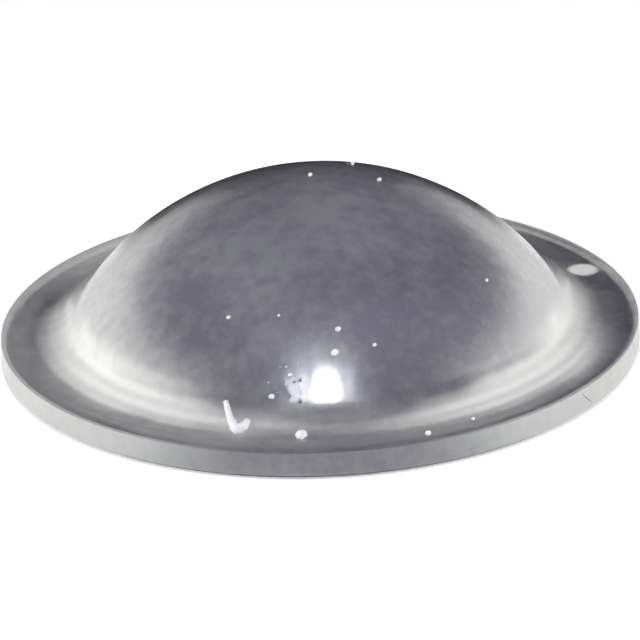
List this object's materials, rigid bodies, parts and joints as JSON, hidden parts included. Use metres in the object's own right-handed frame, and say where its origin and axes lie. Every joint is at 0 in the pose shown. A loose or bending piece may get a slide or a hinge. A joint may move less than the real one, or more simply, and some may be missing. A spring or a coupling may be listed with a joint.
{
  "type": "adhesive bumper foot",
  "caption": "Round clear bumper with a domed crown on a thin flat brim, and a self-adhesive disc under it to stick to a cabinet door or drawer.",
  "frame": {"origin": "centre of the adhesive disc's lower face, which sticks to the cabinet", "axes": "+Z is the axis of revolution, from the adhesive towards the dome's crown; X and Y lie in the sticking face"},
  "size_m": [0.0126, 0.0126, 0.0035],
  "materials": {
    "clear_polyurethane": "clear gloss, moulded",
    "grey_adhesive": "satin, tacky"
  },
  "bodies": {
    "root": {"bumper_body": "clear_polyurethane", "adhesive_disc": "grey_adhesive"}
  },
  "joints": []
}
